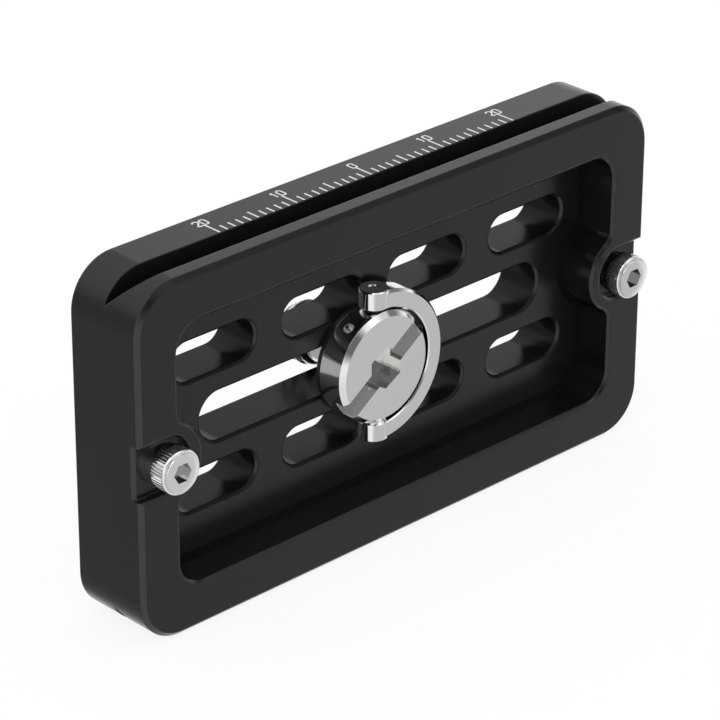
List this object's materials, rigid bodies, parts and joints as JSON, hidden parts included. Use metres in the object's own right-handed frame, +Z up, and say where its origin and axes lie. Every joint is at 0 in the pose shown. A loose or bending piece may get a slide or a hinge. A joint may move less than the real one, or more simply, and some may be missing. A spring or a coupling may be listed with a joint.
{
  "type": "tripod quick release plate",
  "caption": "Black dovetail quick release plate with a sliding camera screw, folding pull ring, slotted recess and stop screws.",
  "frame": {"origin": "middle of the plane the camera rests on, half way along and across the plate", "axes": "+X along the plate, +Y towards the camera, +Z up across the plate as it stands on a long edge"},
  "size_m": [0.07, 0.0159, 0.038],
  "materials": {
    "black_anodised": "fine satin black anodising",
    "grip_rubber": "matt rubber",
    "turned_steel": "faced and turned stainless steel",
    "bright_steel": "plain stainless steel",
    "black_nylon": "smooth black nylon"
  },
  "bodies": {
    "base": {"plate": "black_anodised", "grip_strip_top": "grip_rubber", "grip_strip_bottom": "grip_rubber", "stop_screw_right": "bright_steel", "stop_screw_left": "bright_steel"},
    "washer": {"screw_washer": "black_nylon"},
    "screw": {"camera_screw": "turned_steel"},
    "ring": {"pull_ring": "turned_steel", "ring_pin_top": "bright_steel", "ring_pin_bottom": "bright_steel"}
  },
  "joints": [
    {"name": "screw_slide", "type": "slide", "parent": "base", "child": "washer", "axis": [1, 0, 0], "range_m": [-0.0164, 0.0206]},
    {"name": "screw_turn", "type": "hinge", "parent": "washer", "child": "screw", "pos_m": [-0.0021, 0, 0], "axis": [0, 1, 0], "continuous": true},
    {"name": "ring_fold", "type": "hinge", "parent": "screw", "child": "ring", "pos_m": [-0.0021, -0.00763, 0], "axis": [0, 0, -1], "range_deg": [0, 180]}
  ]
}
